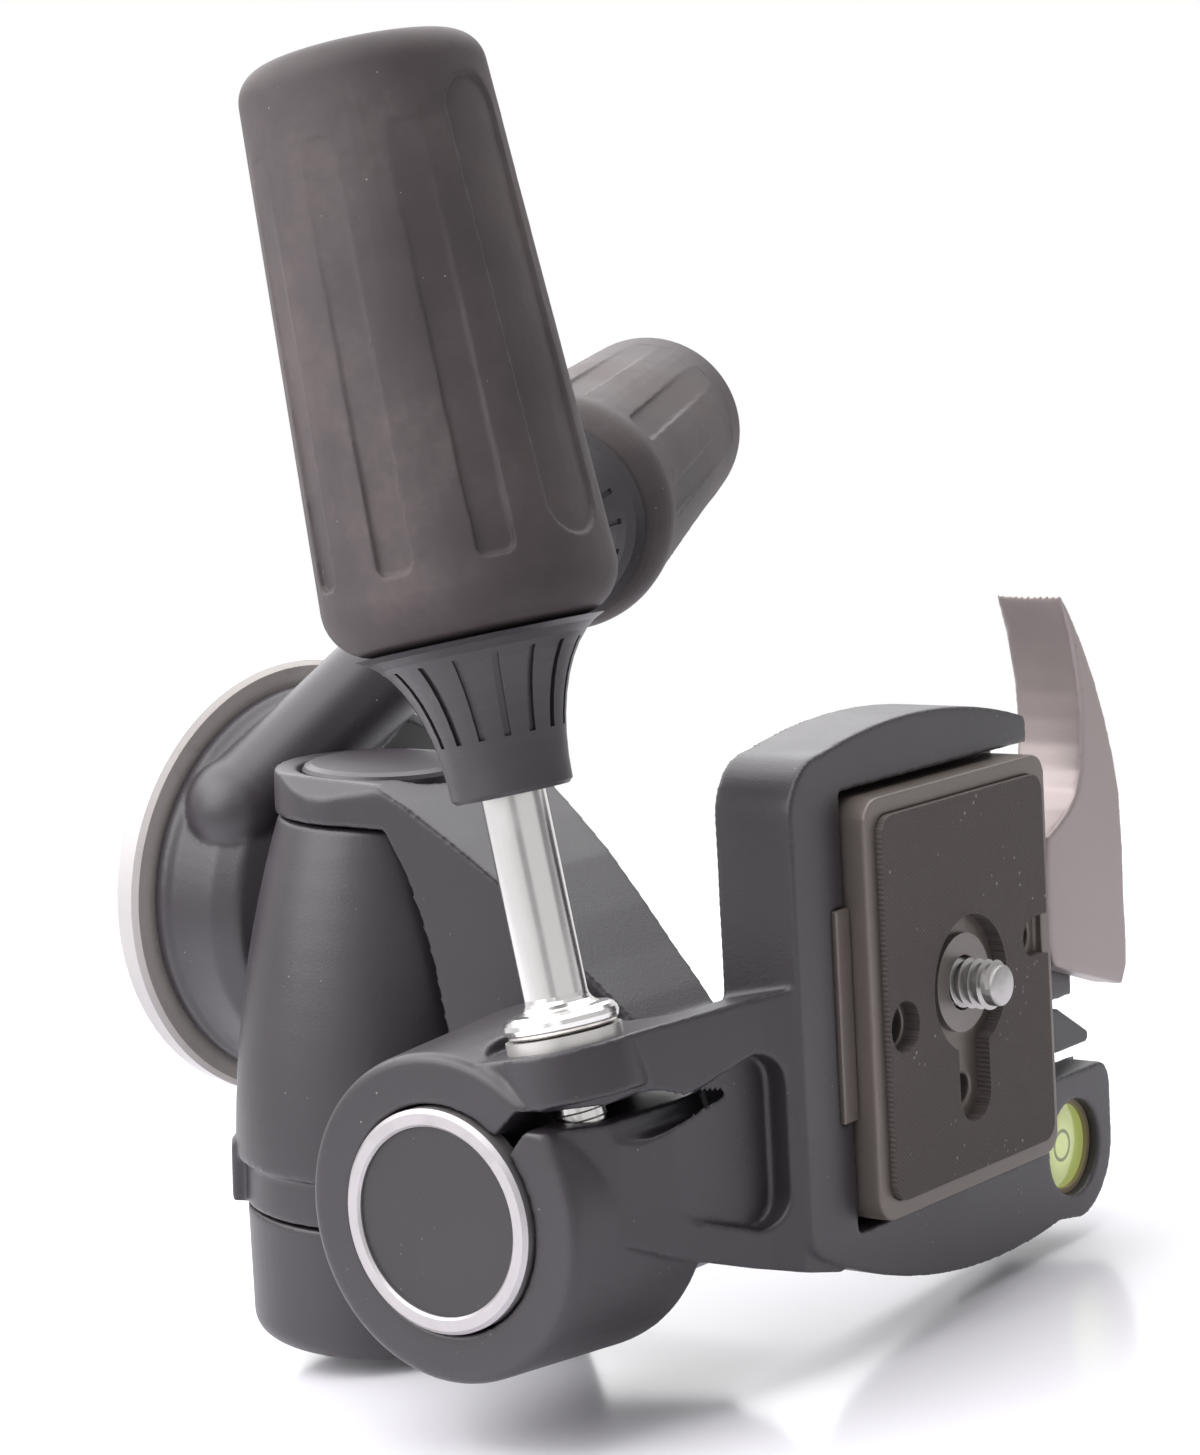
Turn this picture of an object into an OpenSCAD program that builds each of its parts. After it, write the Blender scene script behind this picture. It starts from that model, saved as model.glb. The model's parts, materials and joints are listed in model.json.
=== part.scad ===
// Three-way pan and tilt head for a camera tripod, with a quick-release plate.
// Z is up along the pan axis, X points to the front, the underside of the base disc lies on Z = 0.
// The tilting and rolling groups are drawn level and then turned to their stored angles.

/* [Stored angles] */
// Front tilt at which the head is stored, degrees about Y
tilt_rest = -8; // [-20:1:30]
// Sideways roll at which the platform is stored, degrees about X
roll_rest = 3; // [-60:1:10]

/* [Base] */
// Radius of the aluminium base disc
base_r = 30; // [28:0.5:36]
// Thickness of the base disc
base_h = 4.2; // [3:0.1:5]
// Bevel on the rims of the base disc
base_bevel = 0.7; // [0.3:0.1:1.2]
// Radius of the 3/8 inch tripod thread
thread_r = 4.76; // [4.2:0.01:5]
// Depth of the tripod thread
thread_depth = 10; // [8:0.5:10.5]
// Outer radius of the steel thread insert
insert_r = 7; // [6:0.25:8]
// Radius of the pan hub that stands on the base disc
hub_r = 12; // [10.5:0.5:13]
// Thickness of the snap ring that keeps the housing on the hub
snap_h = 1.4; // [1:0.1:1.6]

/* [Pan housing] */
// Radius of the housing's skirt at the base disc
skirt_r = 27; // [26:0.25:27.5]
// Distance of the tilt axis in front of the pan axis
tilt_x = 13.2; // [12:0.2:14]
// Height of the tilt axis over the floor
tilt_z = 35; // [34.6:0.2:36]
// Largest radius of the tilt barrel
barrel_r = 20.2; // [19:0.2:20.4]
// Radius of the arc that the barrel's flank follows
barrel_bow = 158; // [140:1:200]
// Side position of the barrel's slim end
barrel_y0 = -14.7; // [-16:0.1:-14]
// Side position of the barrel's wide end
barrel_y1 = 36.2; // [35:0.1:36.6]
// Width of the groove beside the lower cup
groove_w = 6.2; // [4:0.2:7]
// Depth of that groove
groove_d = 1.2; // [0.6:0.1:2]
// Width of the stop lug in the groove
lug_w = 8; // [6:0.5:10]
// Radius of the arm that carries the pan handle
horn_r = 6.8; // [6:0.1:7]
// Radius of the pan handle's elbow
elbow_r = 8.6; // [8:0.1:9.2]
// Downward slope of the pan handle, degrees
pan_handle_drop = 30; // [24:1:34]
// Sideways swing of the pan handle, degrees
pan_handle_swing = 8; // [4:1:12]

/* [Yoke] */
// Radius of the yoke's eye at the slim end
eye_r = 14; // [13.6:0.2:14.4]
// Thickness of that eye
eye_h = 5.7; // [5:0.1:6.5]
// Radius of the round cover let into the eye
cover_r = 10.4; // [9:0.2:11]
// Height of that cover over the eye
cover_h = 0.6; // [0.3:0.1:1]
// Radius of the closed cup at its inner face
cup_r = 18.8; // [18:0.1:19]
// Radius of the cup at its outer face
cup_end_r = 18.3; // [17:0.1:18.6]
// Length of the cup
cup_h = 17.5; // [15:0.5:18.5]
// Rounding at the cup's outer rim
cup_round = 3; // [1:0.5:4]
// Room between the barrel and the yoke's arm
arm_gap = 2.2; // [1.2:0.1:2.6]
// Radius of the tilt shaft
shaft_r = 5; // [4:0.25:5.5]
// Side position of the roll axis
roll_y = 23.4; // [23:0.1:24]
// Height of the roll axis when the head is level
roll_z = 76.5; // [76.2:0.1:78]
// Radius of the yoke's hub behind the roll clamp
roll_hub_r = 16.6; // [15:0.1:17]
// Front edge of the yoke's arm
arm_front = 17.5; // [16.5:0.1:18.5]
// Rear edge of the yoke beside the barrel
yoke_back = -4; // [-6:0.5:-2]
// Radius of the roll spindle
spindle_r = 11; // [10:0.1:11.2]
// Outer radius of the bright ring round the spindle's end
ring_r = 13.45; // [13:0.05:13.6]
// Radial width of that ring
ring_w = 2.1; // [1.4:0.1:2.4]
// Height of that ring over the clamp's face
ring_proud = 1.2; // [0.6:0.1:2]

/* [Platform] */
// Height of the plate's top over the roll axis
plate_rise = 32.35; // [32:0.05:34]
// Distance of the plate's middle beside the roll axis
plate_side = 18.15; // [17.8:0.05:18.6]
// Front position of the plate's middle
plate_x = -11.2; // [-12:0.1:-11]
// Outer radius of the roll clamp at its front
clamp_r = 19.8; // [18.8:0.1:20]
// Outer radius of the roll clamp at its back
clamp_back_r = 21.4; // [20:0.1:21.6]
// Back face of the roll clamp, from the plate's middle
clamp_back = 41; // [40:0.1:42]
// Front face of the roll clamp, from the plate's middle
clamp_front = 65.8; // [64.5:0.1:67]
// Rounding of the clamp's front rim
clamp_round = 1.2; // [0.4:0.1:2]
// Radius of the boss that the roll handle's washer sits on
boss_r = 8.8; // [8:0.1:9.2]
// Width of the clamp's slit
slit_w = 2.2; // [1.4:0.1:2.6]
// Depth of the tray's rim under the plate's top
rim_drop = 3; // [2.6:0.1:3.4]
// Thickness of the tray
tray_h = 11; // [10.5:0.1:11.4]
// Front edge of the tray
tray_front = 32.5; // [31.5:0.25:33]
// Radius of the bubble level's vial
level_r = 5.6; // [4.6:0.1:5.8]

/* [Quick-release plate] */
// Width of the plate, front to back
plate_w = 42.5; // [41:0.1:42.8]
// Length of the plate, side to side
plate_l = 52; // [50:0.1:52.6]
// Thickness of the plate
plate_h = 8; // [7:0.1:8.2]
// Rounding of the plate's corners
plate_corner = 3; // [2:0.5:4]
// Inward lean of the dovetail's flanks
dovetail = 2.4; // [1.5:0.1:2.6]
// Height of the plate's straight edge
plate_edge = 4; // [3:0.1:4.4]
// Thickness of the rubber pad on the plate
pad_h = 2; // [1.6:0.1:2.4]
// Height of the pad over the plate's rim
pad_proud = 0.9; // [0.4:0.1:1.2]
// Width of the plate's rim round the pad
pad_rim = 2.3; // [2:0.1:3.4]
// Radius of the round opening in the pad
pad_hole_r = 8.6; // [7.5:0.1:9]
// Radius of the 1/4 inch camera screw
screw_r = 3.175; // [3:0.005:3.2]
// Length of the camera screw over the plate
screw_h = 5.6; // [4.5:0.1:7]
// Radius of the camera screw's head under the plate
screw_head_r = 7.4; // [6.5:0.1:7.4]

/* [Lock lever] */
// Thickness of the lever's plate
lever_h = 5; // [4:0.1:5]
// Height of the lever's finger wall
finger_h = 10; // [8:0.5:12]
// Radius of the lever's pivot pin
lever_pin_r = 2.5; // [2:0.1:3]

/* [Handles] */
// Radius of the chromed rod
rod_r = 3.8; // [3.4:0.1:4.2]
// Radius of the threaded stud
stud_r = 3; // [2.5:0.1:3]
// Radius of the rod's collar
collar_r = 6.9; // [6:0.1:7]
// Thickness of the collar
collar_h = 2.8; // [2:0.1:3]
// Thickness of the loose washer
washer_h = 1.4; // [1.2:0.1:2.4]
// Length of the roll handle's rod from its seat to the neck
rod_len = 29.6; // [24:0.2:36]
// Length of the flared neck
neck_len = 18.5; // [15:0.5:20]
// Radius of the neck at the rod
neck_r0 = 7.2; // [6.4:0.1:8]
// Radius of the neck at the grip
neck_r1 = 14.7; // [13:0.1:15]
// Number of fine grooves round the neck
neck_cuts = 16; // [12:1:20]
// Depth of those grooves
neck_cut_d = 0.5; // [0.2:0.1:0.6]
// Length of the rubber grip
grip_len = 70; // [60:1:74]
// Radius of the grip near the neck
grip_r0 = 17.5; // [16.5:0.1:17.8]
// Radius of the grip at its end
grip_r1 = 14.6; // [13:0.1:16]
// Rounding of the grip near the neck
grip_round = 6; // [4:0.5:7]
// Number of places for flutes round the grip, one of them taken by the bare panel
flutes = 9; // [7:1:10]
// Width of a flute
flute_w = 4.5; // [3:0.1:5]
// Length of a flute
flute_l = 50; // [40:1:52]
// Depth of a flute
flute_d = 0.9; // [0.8:0.1:1]
// Depth of the bare panel
panel_d = 0.5; // [0.3:0.1:0.8]
// Width of the bare panel
panel_w = 9; // [7:0.1:10]
// Downward slope of the roll handle, degrees
roll_handle_drop = 11; // [9:0.5:12]

/* [Fits] */
// Radial running clearance of shafts and pins
run_fit = 0.06; // [0.03:0.01:0.1]
// Clearance between faces of moving pieces
gap = 0.3; // [0.25:0.01:0.35]

/* [Hidden] */
$fn = 96;
inf = 200;
eps = 0.02;

hub_h = thread_depth + 2;
housing_z = base_h + gap;
snap_z = housing_z + 4;
snap_r = hub_r + 2;

eye_y = barrel_y0 - gap;
eye_out = eye_y - eye_h;
cup_y = barrel_y1 + gap;
cup_out = cup_y + cup_h;
bush_h = 6;
bush_r = shaft_r + 2.5;
cover_seat = 2.5;

elbow = [-18.2, -41.4, 22.2];
horn_foot = [tilt_x + 4.3, barrel_y0 + 1.8, base_h + gap + horn_r + 0.6];
socket_h = elbow_r + 0.4;
pan_turn = [0, -(90 + pan_handle_drop), pan_handle_swing];
pan_rod_len = collar_h + washer_h + 0.6;

roll_front = plate_x + clamp_front;
roll_back = plate_x + clamp_back - gap;
roll_seat = [56.5, -2.05, -19.6];
roll_turn = [90 + roll_handle_drop, 0, 0];
nut_r = 4.2;
nut_h = 7;
nut_at = -18;
roll_stud = 17.5;
pan_stud = socket_h + 3;

rim_z = -rim_drop;
tray_z = rim_z - tray_h;
pocket_z = -plate_h - gap;
ledge_z = -plate_h - gap;
ledge_low = tray_z - 3;
level_at = [-30.5, plate_l / 2 + 2];
level_lug_r = 10;
lug_corner = 3;
lug_top = level_at[1] - level_lug_r;
level_sink = 1.4;
level_z = rim_z - 6;
lever_z = ledge_z + gap;
lever_at = [-34, -3];
notch_w = 8.2;
catch_at = [-30, lug_top - 4.4];
catch_pin_r = 1.2;
catch_z = tray_z + 0.1;
catch_h = 5;
jaw_front = plate_w / 2 + 3.25;
screw_low = pad_proud + 0.1;
jaw_l = 26;

// Frames of the moving groups
module in_tilt() {
  translate([tilt_x, 0, tilt_z]) rotate([0, tilt_rest, 0]) translate([-tilt_x, 0, -tilt_z]) children();
}
module in_roll() {
  in_tilt() translate([0, roll_y, roll_z]) rotate([roll_rest, 0, 0]) translate([0, -roll_y, -roll_z]) children();
}
module in_plate() {
  in_roll() translate([plate_x, roll_y - plate_side, roll_z + plate_rise]) children();
}
module at_roll_seat() {
  translate(roll_seat) rotate(roll_turn) children();
}
module on_roll_handle() {
  in_plate() at_roll_seat() children();
}
module on_pan_handle() {
  translate(elbow) rotate(pan_turn) translate([0, 0, socket_h]) children();
}

// Solids of revolution on the main axes, and arcs for outlines
module about_tilt() {
  translate([tilt_x, 0, tilt_z]) rotate([-90, 0, 0]) rotate_extrude() children();
}
module tilt_rod(r, y0, y1) {
  translate([tilt_x, y0, tilt_z]) rotate([-90, 0, 0]) cylinder(r = r, h = y1 - y0);
}
module roll_rod(r, x0, x1) {
  translate([x0, roll_y, roll_z]) rotate([0, 90, 0]) cylinder(r = r, h = x1 - x0);
}
module clamp_rod(r, x0, x1) {
  translate([x0, plate_side, -plate_rise]) rotate([0, 90, 0]) cylinder(r = r, h = x1 - x0);
}
module along_x(x0, x1) {
  translate([x0, 0, 0]) rotate([90, 0, 90]) linear_extrude(x1 - x0) children();
}
module along_y(y0, y1) {
  translate([0, y1, 0]) rotate([90, 0, 0]) linear_extrude(y1 - y0) children();
}
function arc(c, r, a0, a1, n) = [for (i = [0:n]) c + r * [cos(a0 + (a1 - a0) * i / n), sin(a0 + (a1 - a0) * i / n)]];

// Base group
module base_disc() {
  color("silver") difference() {
    rotate_extrude() polygon([
      [0, 0], [base_r - base_bevel, 0], [base_r, base_bevel], [base_r, base_h - base_bevel],
      [base_r - base_bevel, base_h], [hub_r, base_h], [hub_r, snap_z], [hub_r - 1, snap_z],
      [hub_r - 1, snap_z + snap_h], [hub_r, snap_z + snap_h], [hub_r, hub_h], [0, hub_h]
    ]);
    translate([0, 0, -1]) cylinder(r = insert_r, h = thread_depth + 1);
  }
}
module thread_insert() {
  color("gray") difference() {
    cylinder(r = insert_r, h = thread_depth);
    translate([0, 0, -1]) cylinder(r = thread_r, h = thread_depth + 2);
  }
}
module snap_ring() {
  color("gray") translate([0, 0, snap_z]) difference() {
    cylinder(r = snap_r, h = snap_h);
    translate([0, 0, -1]) cylinder(r = hub_r - 1, h = snap_h + 2);
  }
}

// Barrel round the tilt axis: its flank is one long arc
function barrel_at(y) = sqrt(pow(barrel_bow, 2) - pow(y - barrel_y1 + groove_w - 0.6, 2)) - barrel_bow + barrel_r;
function barrel_flank(grow) = [
  for (i = [0:12]) let (y = barrel_y0 + (barrel_y1 - groove_w - barrel_y0) * i / 12) [barrel_at(y) + grow, y]
];
module housing_foot() {
  // Turned foot that covers the base disc
  rotate_extrude() polygon([
    [0, housing_z], [skirt_r, housing_z], [skirt_r, housing_z + 2], [skirt_r - 0.8, housing_z + 3],
    [skirt_r - 1.6, housing_z + 9.5], [skirt_r - 3.5, housing_z + 13], [skirt_r - 7.5, housing_z + 15.3],
    [skirt_r - 13, housing_z + 16.5], [0, housing_z + 16.5]
  ]);
}
module pan_housing() {
  top = barrel_r - groove_d;
  color("#2b2b2d") difference() {
    union() {
      housing_foot();
      about_tilt() polygon(concat(
        [[0, barrel_y0]], barrel_flank(0),
        [[top, barrel_y1 - groove_w], [top, barrel_y1], [0, barrel_y1]]
      ));
      // Stop lug in the groove
      intersection() {
        translate([tilt_x, 0, tilt_z]) rotate([0, 46, 0])
          translate([0, barrel_y1 - groove_w - 1.6, -lug_w / 2]) cube([inf, groove_w + 1.6, lug_w]);
        tilt_rod(barrel_r + 0.6, barrel_y0, barrel_y1);
      }
    }
    // Pan hub, its snap ring, and the tilt shaft with its bushes
    translate([0, 0, housing_z - 1]) cylinder(r = hub_r + run_fit, h = hub_h + gap - housing_z + 1);
    translate([0, 0, snap_z - gap]) cylinder(r = snap_r + gap, h = snap_h + 2 * gap);
    tilt_rod(shaft_r + gap, barrel_y0 - 1, barrel_y1 + 1);
    tilt_rod(bush_r, barrel_y0 - 1, barrel_y0 + bush_h);
    tilt_rod(bush_r, barrel_y1 - bush_h, barrel_y1 + 1);
  }
}
module pan_arm() {
  // Arm along the foot's flank to the elbow that takes the pan handle's stud
  span = elbow - horn_foot;
  len = norm(span);
  turn = [0, acos(span[2] / len), atan2(span[1], span[0])];
  color("#2b2b2d") difference() {
    union() {
      translate(horn_foot) sphere(r = horn_r + 0.5);
      translate(horn_foot) rotate(turn) cylinder(r = horn_r, h = len);
      translate(elbow) sphere(r = elbow_r + 0.5);
      on_pan_handle() translate([0, 0, -socket_h]) cylinder(r = elbow_r, h = socket_h);
    }
    housing_foot();
    on_pan_handle() translate([0, 0, -pan_stud - 1]) cylinder(r = stud_r + run_fit, h = pan_stud + 2);
  }
}
module bush(y0) {
  color("ivory") difference() {
    tilt_rod(bush_r, y0, y0 + bush_h);
    tilt_rod(shaft_r + run_fit, y0 - 1, y0 + bush_h + 1);
  }
}
module upper_bush() {
  bush(barrel_y0);
}
module lower_bush() {
  bush(barrel_y1 - bush_h);
}

// Tilting group
module yoke_side() {
  // Seen along the tilt axis: the round eye and the arm that rises from it
  translate([tilt_x, tilt_z]) circle(r = eye_r);
  polygon([
    [tilt_x + eye_r * cos(6), tilt_z + eye_r * sin(6)], [arm_front, roll_z + 9.5], [arm_front, roll_z + 16],
    [yoke_back + 9, roll_z + 16], [yoke_back, tilt_z + 14], [tilt_x - eye_r * cos(12), tilt_z - eye_r * sin(12)], [tilt_x, tilt_z]
  ]);
}
module yoke_front() {
  // Seen along the roll axis: a back that bows from the eye over the barrel to the cup
  mid = [roll_y, roll_z];
  side = roll_y + 17.5;
  low = tilt_z - eye_r - 1;
  polygon(concat(
    [[eye_out, low], [eye_out, tilt_z + 8.6], mid + [-41.8, -28.6], mid + [-37.6, -22.2], mid + [-33.1, -15.9]],
    [mid + [-27.6, -9.5], mid + [-22.9, -4.4], mid + [-18.7, 0.4], mid + [-13, 6.4], mid + [-6, 10.5], mid + [4, 12]],
    [mid + [12, 10], [side, roll_z + 2], [side, roll_z - 22.5], [cup_out - 5, roll_z - 23.5], [cup_out - 5, low], [cup_y, low], [cup_y, tilt_z], [eye_y, tilt_z], [eye_y, low]]
  ));
}
module yoke() {
  color("#303033") in_tilt() difference() {
    union() {
      intersection() {
        along_y(-inf, inf) yoke_side();
        along_x(-inf, inf) yoke_front();
      }
      about_tilt() polygon(concat(
        [[0, cup_y], [cup_r, cup_y]],
        arc([cup_end_r - cup_round, cup_out - cup_round], cup_round, 0, 90, 8),
        [[0, cup_out]]
      ));
      roll_rod(roll_hub_r, yoke_back + 7, roll_back);
    }
    // Room for the barrel
    about_tilt() polygon(concat(
      [[0, eye_y]], [[barrel_at(barrel_y0) + arm_gap, eye_y]], barrel_flank(arm_gap),
      [[barrel_r + arm_gap, cup_y], [0, cup_y]]
    ));
    // Bevel on the arm's outer front edge
    translate([tilt_x + eye_r, eye_out, tilt_z + 8]) rotate([0, 0, 45]) cube([3.2, 3.2, inf], center = true);
    // Seats of the shaft, the two covers and the spindle
    tilt_rod(shaft_r, eye_out + cover_seat - eps, cup_y + cup_h / 2);
    tilt_rod(cover_r + 0.5, eye_out - 1, eye_out + 0.8);
    tilt_rod(cover_r, eye_out - 1, eye_out + cover_seat);
    tilt_rod(cover_r, cup_out - cover_seat, cup_out + 1);
    roll_rod(spindle_r, roll_back - 12, inf);
  }
}
module tilt_shaft() {
  color("gray") in_tilt() tilt_rod(shaft_r, eye_out + cover_seat, cup_y + cup_h / 2);
}
module eye_cover() {
  h = cover_seat + cover_h;
  color("#3a3a3d") in_tilt() translate([tilt_x, eye_out + cover_seat, tilt_z]) rotate([90, 0, 0]) rotate_extrude()
    polygon([[0, 0], [cover_r, 0], [cover_r, h - 0.9], [cover_r - 0.3, h - 0.4], [cover_r - 1.2, h], [0, h]]);
}
module cup_cover() {
  color("#3a3a3d") in_tilt() tilt_rod(cover_r, cup_out - cover_seat, cup_out - 0.4);
}
module roll_spindle() {
  color("silver") in_tilt() roll_rod(spindle_r, roll_back - 12, roll_front - 2);
}
module spindle_ring() {
  h = 2 + ring_proud;
  color("silver") in_tilt() translate([roll_front - 2, roll_y, roll_z]) rotate([0, 90, 0]) rotate_extrude()
    polygon([
      [ring_r - ring_w, 0], [ring_r, 0], [ring_r, h - 0.5], [ring_r - 0.5, h], [ring_r - ring_w + 0.3, h],
      [ring_r - ring_w, h - 0.3]
    ]);
}
module spindle_cover() {
  color("#262628") in_tilt() roll_rod(ring_r - ring_w, roll_front - 2, roll_front + ring_proud - 0.6);
}

// Rolling group, drawn from the middle of the plate's top
module tray_outline() {
  low_mid = [5, 60.6];
  high_mid = [-12, -57];
  bow = 95;
  polygon(concat(
    arc(low_mid, bow, -106.8, -78, 12), arc([tray_front - 7, -25.2], 7, -80, 0, 8),
    arc([tray_front - 4, 24.4], 4, 0, 60, 4), arc(high_mid, bow, 64.6, 98.6, 12),
    arc(level_at, level_lug_r, 100, 180, 8), arc([level_at[0] - level_lug_r + lug_corner, lug_top + lug_corner], lug_corner, 180, 270, 5),
    [[-22.5, lug_top]]
  ));
}
module ledge_outline() {
  polygon(concat(
    [[-20, -12]], arc([-36.6, -8.2], 3.8, 270, 180, 5), arc(level_at, level_lug_r, 180, 100, 7), [[-20, 37]]
  ));
}
module plate_shape(w, l, r) {
  polygon(concat(
    arc([w / 2 - r, l / 2 - r], r, 0, 90, 6), arc([r - w / 2, l / 2 - r], r, 90, 180, 6),
    arc([r - w / 2, r - l / 2], r, 180, 270, 6), arc([w / 2 - r, r - l / 2], r, 270, 360, 6)
  ));
}
module clamp_neck() {
  // Web from the tray's front to the clamp, its side cut square to the roll handle
  intersection() {
    along_y(-40, 60) polygon([
      [24, rim_z - 1], [tray_front, rim_z - 1], [tray_front + 3.5, rim_z - 3], [58, rim_z - 9],
      [clamp_front - 1, rim_z - 14], [clamp_front - 1, -plate_rise], [clamp_back, -plate_rise],
      [clamp_back, tray_z], [24, tray_z]
    ]);
    translate([0, 0, -60]) linear_extrude(70) polygon([
      [22, -8], [clamp_front, -8], [clamp_front, 16], [58.6, 20.6], [50.2, 24], [44.8, 25.8], [38.2, 27.9],
      [tray_front - 2, 30], [22, 32]
    ]);
    at_roll_seat() translate([-inf, -inf, -inf]) cube([2 * inf, 2 * inf, inf]);
  }
}
module clamp_slit() {
  // Slit from the bore to a pointed relief in the neck
  y = 5.3;
  leaf = [6.2, -8.8];
  mid = [plate_side, -plate_rise];
  h = slit_w / 2;
  along_x(clamp_back - 1, clamp_front + 1) polygon([
    mid + [-8.4, 6.2], [y - h, -20.4], [y - h, leaf[1] - 3.8], leaf + [-2.7, -2.6], leaf + [-2.3, -1.4], leaf,
    leaf + [2.4, -1.2], leaf + [3, -2.4], leaf + [2.3, -3.3], [y + h, leaf[1] - 3.8], [y + h, -19.4], mid + [-6.2, 8.4]
  ]);
}
module platform() {
  color("#2e2f33") in_plate() difference() {
    union() {
      translate([0, 0, tray_z]) linear_extrude(tray_h) tray_outline();
      translate([0, 0, ledge_low]) linear_extrude(ledge_z - ledge_low) ledge_outline();
      translate([clamp_back, plate_side, -plate_rise]) rotate([0, 90, 0]) rotate_extrude() polygon(concat(
        [[0, 0], [clamp_back_r - 0.8, 0], [clamp_back_r, 0.8]],
        arc([clamp_r - clamp_round, clamp_front - clamp_back - clamp_round], clamp_round, 0, 90, 6),
        [[0, clamp_front - clamp_back]]
      ));
      clamp_neck();
      at_roll_seat() translate([0, 0, -6.2]) cylinder(r = boss_r, h = 6.7);
    }
    at_roll_seat() cylinder(r = boss_r + 0.6, h = 8);
    clamp_rod(spindle_r + run_fit, clamp_back - 1, clamp_front + 1);
    clamp_rod(ring_r + gap, clamp_front - 2 - gap, clamp_front + 1);
    clamp_slit();
    // Stud of the roll handle and its threaded bush
    at_roll_seat() translate([0, 0, nut_at - 1]) cylinder(r = stud_r + gap, h = -nut_at + 2);
    at_roll_seat() translate([0, 0, nut_at]) cylinder(r = nut_r, h = nut_h);
    // Pocket of the plate, open towards the lever, and the seat of the fixed jaw
    translate([-plate_w / 2 - 0.5, -plate_l / 2 - 1, pocket_z]) cube([plate_w + 1, plate_l + 2, inf]);
    translate([-inf, -plate_l / 2 - 1, pocket_z]) cube([inf, plate_l / 2 + 1 + lug_top, inf]);
    translate([0, -jaw_l / 2, pocket_z]) cube([jaw_front, jaw_l, inf]);
    // Hollow underside
    translate([-20, -28, tray_z - 1]) cube([tray_front - 5 + 20, 56, 3.7]);
    // Pins of the lever and the catch, and the notch that the catch swings in
    translate([lever_at[0], lever_at[1], ledge_low + 2]) cylinder(r = lever_pin_r, h = inf);
    translate([-inf - 24.5, lug_top - notch_w, catch_z - gap]) cube([inf, notch_w, catch_h + 2 * gap + 1]);
    translate([-inf - 32.5, lug_top - eps, catch_z - gap]) cube([inf, 2.4, catch_h + 2 * gap]);
    translate([catch_at[0], catch_at[1], ledge_low + 1]) cylinder(r = catch_pin_r, h = 6);
    // Bubble level
    translate([level_at[0], level_at[1], level_z]) cylinder(r = level_r + 0.7, h = inf);
    // Pocket on the neck's slope, deepest at the tray
    translate([tray_front + 0.6, 12.8, rim_z - 5]) rotate([0, 6, 0]) linear_extrude(10) polygon(concat(
      arc([4, -6.6], 4, 180, 270, 5), arc([13, -3], 5, 270, 360, 5), arc([12, 3], 5, 0, 90, 5), arc([4, 6.6], 4, 90, 180, 5)
    ));
  }
}
module clamp_nut() {
  color("silver") on_roll_handle() translate([0, 0, nut_at]) difference() {
    cylinder(r = nut_r, h = nut_h);
    translate([0, 0, -1]) cylinder(r = stud_r + run_fit, h = nut_h + 2);
  }
}
module lock_jaw() {
  w = plate_w / 2;
  color("#6d655c") in_plate() along_y(-jaw_l / 2, jaw_l / 2) polygon([
    [jaw_front, pocket_z], [w - dovetail + 0.2, pocket_z], [w + 0.2, -plate_edge - 0.1], [w + 0.2, rim_z + 0.5],
    [jaw_front, rim_z + 0.5]
  ]);
}
module lever_pin() {
  color("gray") in_plate() translate([lever_at[0], lever_at[1], ledge_low + 2])
    cylinder(r = lever_pin_r, h = lever_z + lever_h - 1.4 - ledge_low - 2);
}
module catch_pin() {
  color("gray") in_plate() translate([catch_at[0], catch_at[1], ledge_low + 1])
    cylinder(r = catch_pin_r, h = catch_z + catch_h - 0.8 - ledge_low - 1);
}
module level_cup() {
  color("tan") in_plate() translate([level_at[0], level_at[1], level_z]) difference() {
    cylinder(r = level_r + 0.7, h = rim_z - level_z - level_sink);
    translate([0, 0, 1]) cylinder(r = level_r, h = inf);
  }
}
module level_vial() {
  color("yellowgreen") in_plate() translate([level_at[0], level_at[1], level_z + 1])
    cylinder(r = level_r, h = rim_z - level_z - level_sink - 1.6);
}
module plate_body() {
  w = plate_w / 2;
  color("#5a534c") in_plate() difference() {
    intersection() {
      along_y(-inf, inf) polygon([
        [-w, 0], [w, 0], [w, -plate_edge], [w - dovetail, -plate_h], [dovetail - w, -plate_h], [-w, -plate_edge]
      ]);
      translate([0, 0, -inf]) linear_extrude(2 * inf) plate_shape(plate_w, plate_l, plate_corner);
    }
    translate([0, 0, pad_proud - pad_h]) linear_extrude(inf)
      plate_shape(plate_w - 2 * pad_rim, plate_l - 2 * pad_rim, plate_corner - 0.6);
    // Stepped bore of the camera screw, its slot, and two side holes
    translate([0, 0, -inf]) cylinder(r = screw_r + gap, h = 2 * inf);
    translate([0, 0, -plate_h - 1]) cylinder(r = screw_head_r + 0.6, h = plate_h - 3.5);
    translate([0, 13.5, -inf]) cylinder(r = 1.8, h = 2 * inf);
    translate([15.5, 2.5, -inf]) cylinder(r = 2.4, h = 2 * inf);
    translate([-15.5, -3, -3]) cylinder(r = 2, h = inf);
  }
}
module plate_pad() {
  color("#2c2a28") in_plate() translate([0, 0, pad_proud - pad_h]) difference() {
    linear_extrude(pad_h) plate_shape(plate_w - 2 * pad_rim, plate_l - 2 * pad_rim, plate_corner - 0.6);
    // Keyhole round the camera screw, and the two side openings
    translate([0, 0, -1]) linear_extrude(pad_h + 2) {
      circle(r = pad_hole_r);
      translate([-3.6, 0]) square([7.2, 13.9]);
      translate([0, 13.9]) circle(r = 3.6);
      translate([15.5, 2.5]) circle(r = 3.2);
      translate([-15.5, -3]) circle(r = 2.6);
      translate([-inf - 15.5, -5.6]) square([inf, 5.2]);
    }
  }
}
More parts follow.
